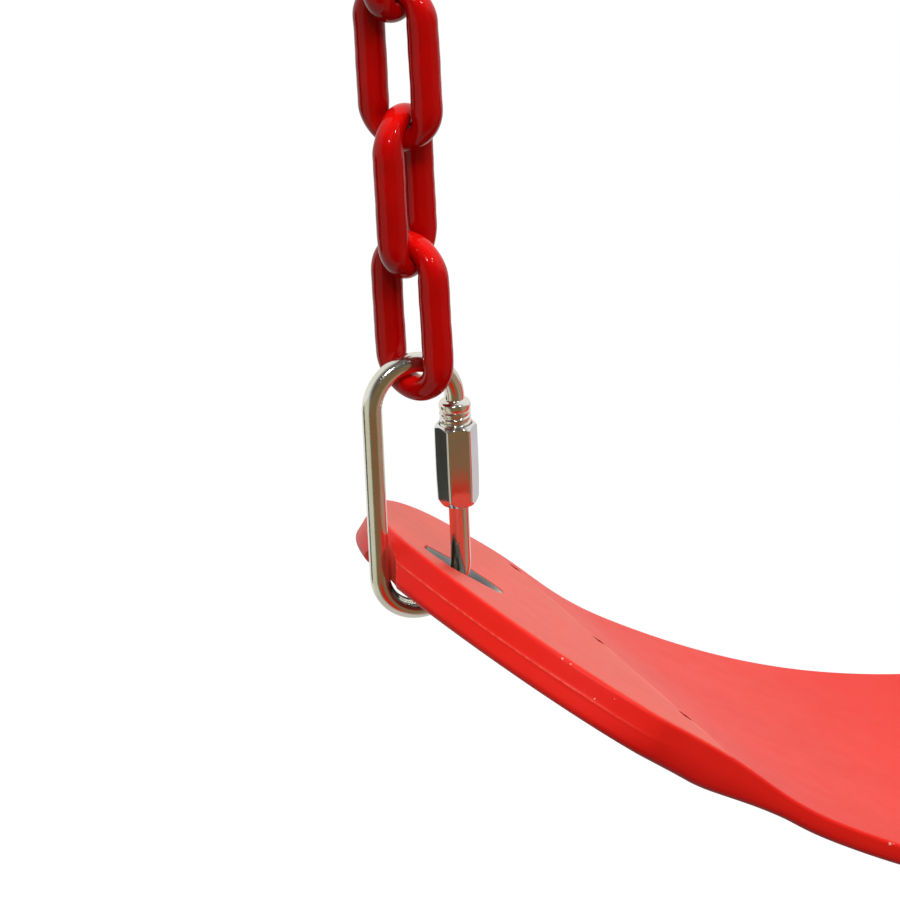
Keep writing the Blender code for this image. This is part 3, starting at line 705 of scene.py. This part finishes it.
# ---------------------------------------------------------------- chain
def oval(half_spacing, half_height, arc, leg):
    pts = []
    for k in range(leg):
        pts.append((half_spacing, half_height * k / leg))
    for k in range(arc):
        a = math.pi * k / arc
        pts.append((half_spacing * math.cos(a), half_height + half_spacing * math.sin(a)))
    for k in range(2 * leg):
        pts.append((-half_spacing, half_height * (1 - k / leg)))
    for k in range(arc):
        a = math.pi + math.pi * k / arc
        pts.append((half_spacing * math.cos(a), -half_height + half_spacing * math.sin(a)))
    for k in range(leg):
        pts.append((half_spacing, -half_height * (1 - k / leg)))
    return np.array([(x, 0.0, z) for x, z in pts])


def chain_link_mesh(seed, bottom_radius):
    """One coated link: a long oval, a little thinner where the links bear, with the dip coating's uneven skin."""
    hs = CHAIN_SPACING / 2
    top = CHAIN_OUTER / 2 - CROWN_RADIUS - hs
    bottom = CHAIN_OUTER / 2 - bottom_radius - hs
    pts = oval(hs, 1.0, 44, 18)
    z = pts[:, 2]
    straight = np.where(z > 0, top, bottom)
    pts[:, 2] = np.where(z >= 1.0, z + straight - 1.0, np.where(z <= -1.0, z + 1.0 - straight, z * straight))
    hh = straight
    rng = np.random.default_rng(seed)
    phases = rng.uniform(0, 2 * math.pi, 8)
    sides = 44
    z = pts[:, 2]
    k = smooth((np.abs(z) - (hh - 1.0)) / (hs * 0.9 + 1.0))
    base = LEG_RADIUS + (np.where(z > 0, CROWN_RADIUS, bottom_radius) - LEG_RADIUS) * k
    wide = np.where(z > 0, 0.17, 0.17 if bottom_radius < 3.0 else 0.08) * k
    step = np.linalg.norm(np.roll(pts, -1, 0) - pts, axis=1)
    at = np.concatenate([[0.0], np.cumsum(step)[:-1]])
    total = float(step.sum())
    turn = at / total * 2 * math.pi
    weld = rng.uniform(0.1, 0.4) * total  # bulge of the link's butt weld under the coating

    def radius(i, angles):
        w = 0.035 * np.sin(3 * turn[i] + phases[0] + angles) + 0.03 * np.sin(7 * turn[i] + phases[1] - 2 * angles)
        w = w + 0.018 * np.sin(17 * turn[i] + phases[2] + 3 * angles)
        d = (at[i] - weld + total / 2) % total - total / 2
        w = w - 0.05 + 0.10 * math.exp(-((d / 1.6) ** 2)) * (0.6 + 0.4 * np.cos(angles - phases[3]))
        low = 1.0 if z[i] < -bottom else 0.0  # a small drip left at the lowest point
        d = (pts[i, 0] - 1.2 * math.sin(phases[4])) / 0.9
        w = w + 0.16 * low * math.exp(-(d * d)) * np.exp(-((np.minimum(angles, 2 * math.pi - angles) / 0.28) ** 2))
        return base[i] * (1 + wide[i] * np.sin(angles) ** 2) + w * (1 - 0.55 * k[i])

    return tube(pts, (0.0, 1.0, 0.0), radius, sides, True)


def build_chain(mat):
    for side, turn in (("left", Matrix.Identity(4)), ("right", HALF_TURN)):
        for k, twist in enumerate(CHAIN_TURNS):
            seed = 11 + k + (20 if side == "right" else 0)
            v, f = chain_link_mesh(seed, CROWN_RADIUS if k else LOWEST_CROWN_RADIUS)
            o = make_object(f"coated_link_{side}_{k + 1}", v * MM, f, mat, 60)
            centre = up_chain(link_middles()[k])
            m = Matrix.Translation(centre * MM) @ Matrix.Rotation(-LEAN, 4, "Y") @ Matrix.Rotation(math.radians(twist), 4, "Z")
            node = f"chain_link_{side}_{k + 1}"
            place_piece(o, node, [node], turn @ m)


# ---------------------------------------------------------------- quick links
THREAD_PITCH = 1.6
THREAD_OUT, THREAD_IN = 3.90, 3.52


def thread_radius(z, angles):
    """A rounded helical thread about the vertical, at this height."""
    phase = (z / THREAD_PITCH - angles / (2 * math.pi)) % 1.0
    tri = 1 - np.abs(2 * phase - 1)
    crest = np.clip((tri - 0.22) / 0.42, 0, 1)
    crest = crest * crest * (3 - 2 * crest)
    return THREAD_IN + (THREAD_OUT - THREAD_IN) * crest


def quick_link_mesh():
    hs = LINK_SPACING / 2
    hh = LINK_LENGTH / 2 - ROD / 2 - hs
    rod = ROD / 2
    pts, rule = [], []  # rule: plain radius, or None with the thread's depth share

    def add(x, z, kind, share=1.0):
        pts.append((x, 0.0, z))
        rule.append((kind, share))

    def threaded(z0, z1, taper_start, taper_end):
        steps = max(2, int(abs(z1 - z0) / 0.11))
        for i in range(steps + 1):
            z = z0 + (z1 - z0) * i / steps
            edge = 1.0
            if taper_start > 0:
                edge = min(edge, abs(z - z0) / taper_start)
            if taper_end > 0:
                edge = min(edge, abs(z - z1) / taper_end)
            add(hs, z, "thread", edge)

    # lower stub inside the nut, then down and round
    threaded(STUB_TOP, NUT_BOTTOM + 0.2, 0.8, 0.0)
    for f in (0.0, 0.25, 0.5, 0.75, 1.0):
        add(hs, NUT_BOTTOM + 0.1 - 0.7 * f, "plain", 3.3 + (rod - 3.3) * float(smooth(f)))
    for z in np.linspace(NUT_BOTTOM - 1.2, -hh, 12)[:-1]:
        add(hs, z, "plain", rod)
    for k in range(61):
        a = -math.pi * k / 60
        add(hs * math.cos(a), -hh + hs * math.sin(a), "plain", rod)
    for z in np.linspace(-hh, hh, 24)[1:-1]:
        add(-hs, z, "plain", rod)
    for k in range(61):
        a = math.pi - math.pi * k / 60
        add(hs * math.cos(a), hh + hs * math.sin(a), "plain", rod)
    # the collar starts with a bright bevel, then the thread runs down into the nut
    for z, r in ((21.5, rod), (21.3, rod + 0.05), (21.12, rod + 0.35), (20.98, 3.2), (20.75, 3.55), (20.4, 3.82), (20.0, 3.95), (19.5, 3.98), (19.0, 3.93), (18.6, 3.8), (18.35, 3.6)):
        add(hs, z, "plain", r)
    threaded(18.2, OPENING_TOP, 0.0, 0.9)
    sides = 56
    p = np.array(pts)

    def radius(i, angles):
        kind, share = rule[i]
        if kind == "plain":
            return np.full_like(angles, share)
        x = p[i]
        # angle 0 of the tube points outwards; measured about the vertical it keeps one sense along the collar
        r = thread_radius(x[2], angles)
        return r * (1 - 0.18 * (1 - min(1.0, share))) if share < 1 else r

    return tube(p, (0.0, 1.0, 0.0), radius, sides, False)


def nut_mesh():
    """Hexagonal sleeve: flats with slightly rounded corners, turned chamfers at both ends, threaded bore."""
    sides = 180
    angles = np.arange(sides) * 2 * math.pi / sides
    flat = NUT_FLATS / 2
    corner = flat / math.cos(math.pi / 6)
    local = (angles - math.radians(NUT_TURN) + math.pi / 6) % (math.pi / 3) - math.pi / 6
    hexagon = flat / np.cos(local)
    soft = 0.10
    hexagon = hexagon - soft * np.exp(-((np.pi / 6 - np.abs(local)) / 0.05) ** 2)
    rows = []
    middle, reach = (NUT_TOP + NUT_BOTTOM) / 2, (NUT_TOP - NUT_BOTTOM) / 2

    def barrel(z):  # the flats are very slightly crowned towards the lower end
        low = max(0.0, (middle - z) / reach)
        return 0.30 * low * low + 0.03 * max(0.0, (z - middle) / reach) ** 2

    def cone(z):
        top = (flat - 0.35) + (corner - flat + 0.37) * (NUT_TOP - z) / 1.25
        bottom = (flat - 0.55) + (corner - flat + 0.57) * (z - NUT_BOTTOM) / 2.1
        return min(top, bottom)

    zs = list(np.linspace(NUT_BOTTOM, NUT_BOTTOM + 2.0, 34)) + list(np.linspace(NUT_BOTTOM + 2.0, NUT_TOP - 1.3, 12)[1:-1])
    zs += list(np.linspace(NUT_TOP - 1.3, NUT_TOP, 28))
    for z in zs:
        a, b = hexagon - barrel(z), np.full_like(hexagon, cone(z))
        h = np.clip(0.5 + 0.5 * (b - a) / 0.07, 0, 1)
        rows.append((b * (1 - h) + a * h - 0.07 * h * (1 - h), z))
    bore = 4.06
    end = np.full(sides, bore + 0.28)
    rows.append((end, NUT_TOP + 0.0))
    rows.append((np.full(sides, bore + 0.02), NUT_TOP - 0.26))
    for z in np.linspace(NUT_TOP - 0.4, NUT_BOTTOM + 0.4, 90):
        phase = (z / THREAD_PITCH - angles / (2 * math.pi)) % 1.0
        rows.append((bore + 0.18 * np.abs(2 * phase - 1), z))
    rows.append((np.full(sides, bore + 0.02), NUT_BOTTOM + 0.26))
    rows.append((np.full(sides, bore + 0.12), NUT_BOTTOM))
    verts, faces = [], []
    for r, z in rows:
        verts.extend(np.stack([r * np.cos(angles), r * np.sin(angles), np.full(sides, z)], axis=1))
    n = len(rows)
    for i in range(n):
        a, b = i * sides, ((i + 1) % n) * sides
        for k in range(sides):
            l = (k + 1) % sides
            faces.append((a + k, a + l, b + l, b + k))
    return np.array(verts), faces


def build_quick_links(rod_mat, nut_mat):
    rv, rf = quick_link_mesh()
    nv, nf = nut_mesh()
    for level, centre in (("lower", LOWER), ("upper", UPPER)):
        for side in ("left", "right"):
            turn = Matrix.Identity(4) if side == "left" else HALF_TURN
            m = turn @ Matrix.Translation(centre * MM)
            if level == "lower":
                m = m @ Matrix.Rotation(-LINK_LEAN, 4, "Y")
            body = "hangers" if level == "upper" else f"quick_link_lower_{side}"
            o = make_object(f"link_rod_{level}_{side}", rv * MM, rf, rod_mat, 45)
            place_piece(o, body, [f"quick_link_{level}_{side}"], m)
            o = make_object(f"hex_sleeve_nut_{level}_{side}", nv * MM, nf, nut_mat, 22)
            node = f"quick_link_nut_{level}_{side}"
            m = m @ Matrix.Translation((LINK_SPACING / 2 * MM, 0, 0))
            place_piece(o, node, [node], m)


# ---------------------------------------------------------------- camera
def build_camera():
    a, e, roll = math.radians(23.89), math.radians(21.585), math.radians(0.263)
    distance, focal = 1066.0, 4317.0
    f = Vector((math.sin(a) * math.cos(e), math.cos(a) * math.cos(e), -math.sin(e)))
    right = Vector((math.cos(a), -math.sin(a), 0.0))
    up = right.cross(f)
    r2 = right * math.cos(roll) + up * math.sin(roll)
    u2 = -right * math.sin(roll) + up * math.cos(roll)
    ox = (416.92 - 450.0) / focal * distance
    oy = (450.0 - 486.31) / focal * distance
    place = (LOWER - (r2 * ox + u2 * oy + f * distance)) * MM
    data = bpy.data.cameras.new("photo_camera")
    data.sensor_width = 36.0
    data.lens = focal / 900.0 * 36.0
    data.clip_start, data.clip_end = 0.05, 100.0
    cam = bpy.data.objects.new("photo_camera", data)
    scene.collection.objects.link(cam)
    m = Matrix.Identity(4)
    for c, v in enumerate((r2, u2, -f, place)):
        m[0][c], m[1][c], m[2][c] = v
    cam.matrix_world = m
    scene.camera = cam


# ---------------------------------------------------------------- studio
def direction(azimuth, elevation):
    a, e = math.radians(azimuth), math.radians(elevation)
    return (math.cos(a) * math.cos(e), math.sin(a) * math.cos(e), math.sin(e))


FILL_LOW, FILL_HIGH = (0.16, 0.16, 0.16), (0.42, 0.43, 0.44)


def build_world():
    world = bpy.data.worlds.new("studio")
    scene.world = world
    world.use_nodes = True
    n = Nodes(world.node_tree)
    n.nodes.clear()
    out = n.new("ShaderNodeOutputWorld")
    background = n.new("ShaderNodeBackground")
    n.links.new(background.outputs[0], out.inputs[0])
    ray = n.new("ShaderNodeTexCoord").outputs["Generated"]
    # what shiny surfaces see: a white studio with a darker side towards the left and the front
    color = (0.92, 0.93, 0.95, 1.0)
    lobes = [  # azimuth, elevation, inner and outer angle in degrees, colour
        (0, -90, 30, 62, (0.62, 0.61, 0.60)),
        (246, 30, 35, 75, (0.10, 0.095, 0.09)),
        (61, -13, 22, 44, (0.92, 0.86, 0.76)),
        (182, -21, 18, 32, (0.66, 0.66, 0.54)),
        (318, -20, 34, 46, (0.40, 0.27, 0.20)),
        (24, -21, 12, 26, (0.66, 0.64, 0.67)),
        (256, -22, 32, 48, (0.20, 0.14, 0.07)),
        (264, -42, 15, 19, (0.62, 0.020, 0.010)),
        (144, -21, 8, 15, (0.045, 0.048, 0.042)),
    ]
    for az, el, inner, outer, paint in lobes:
        d = n.vec("DOT_PRODUCT", ray, direction(az, el))
        k = n.ramp(d, math.cos(math.radians(outer)), math.cos(math.radians(inner)))
        color = n.mix(k, color, paint)
    paths = n.new("ShaderNodeLightPath")
    height = n.split(ray)[2]
    fill = n.mix(n.ramp(height, -0.25, 0.35), FILL_LOW, FILL_HIGH)
    plain = n.mix(paths.outputs["Is Camera Ray"], fill, (1.0, 1.0, 1.0))
    final = n.mix(paths.outputs["Is Glossy Ray"], plain, color)
    n.put(final, background.inputs["Color"])
    background.inputs["Strength"].default_value = 1.0


def area_light(name, place, target, size, power, color=(1, 1, 1), glossy=True, diffuse=True):
    data = bpy.data.lights.new(name, "AREA")
    data.shape = "DISK"
    data.size = size
    data.energy = power
    data.color = color
    o = bpy.data.objects.new(name, data)
    scene.collection.objects.link(o)
    o.location = place
    aim = Vector(target) - Vector(place)
    o.rotation_euler = aim.to_track_quat("-Z", "Y").to_euler()
    o.visible_glossy = glossy
    o.visible_diffuse = diffuse
    o.visible_camera = False
    return o


def build_floor():
    verts = [(-30, -30, -2.4), (30, -30, -2.4), (30, 30, -2.4), (-30, 30, -2.4)]
    m, n, shader, place = new_material("studio_floor")
    n.put(n.mix(n.noise(place, 3.0), (0.93, 0.93, 0.93), (0.95, 0.95, 0.95)), shader.inputs["Base Color"])
    shader.inputs["Roughness"].default_value = 0.9
    shader.inputs["Specular IOR Level"].default_value = 0.0
    shader.inputs["Emission Color"].default_value = (1.0, 1.0, 1.0, 1.0)
    shader.inputs["Emission Strength"].default_value = 0.6
    floor = make_object("studio_floor", verts, [(0, 1, 2, 3)], m)
    if floor.data.polygons[0].normal.z < 0:
        floor.data.flip_normals()
    floor.visible_glossy = False
    floor.visible_diffuse = False


# ---------------------------------------------------------------- build
build_camera()
BELT = belt_material()
CHAIN = chain_material()
ZINC = zinc_material("bright_zinc_rod", (0.80, 0.78, 0.70), (0.74, 0.70, 0.58), 0.30, 0.10, 0.20)
NUT_ZINC = zinc_material("bright_zinc_nut", (0.80, 0.79, 0.77), (0.76, 0.74, 0.70), 0.12, 0.07, 0.12)
# painted shade: the eyelet steel gets a dark base standing in for the shade inside the slot
EYELET = zinc_material("eyelet_plated_steel", (0.20, 0.20, 0.205), (0.12, 0.115, 0.11), 0.2, 0.08, 0.16)
INSERT = insert_material()

build_belt(BELT)
build_eyelets(EYELET)
build_chain(CHAIN)
build_quick_links(ZINC, NUT_ZINC)
for side in ("left", "right"):
    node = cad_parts[f"end_insert_{side}"]
    node.data.materials.clear()
    node.data.materials.append(INSERT)

build_world()
build_floor()
centre = (-0.16, 0.0, -0.27)
area_light("key_soft", (-0.5, -1.3, 1.3), centre, 0.9, 20.0, glossy=False)
area_light("side_left", (-0.95, -1.25, 1.05), centre, 0.10, 5.0, glossy=False)
area_light("side_right", (0.35, -1.25, 1.25), centre, 0.10, 5.5, glossy=False)
area_light("flash_left", (-0.95, -1.25, 1.05), centre, 0.20, 11.0, diffuse=False)
area_light("flash_right", (0.35, -1.25, 1.25), centre, 0.17, 8.5, diffuse=False)
area_light("top_soft", (0.0, 0.4, 1.6), centre, 1.2, 11.0, glossy=False)
scene.view_settings.view_transform = "Standard"
scene.view_settings.look = "None"
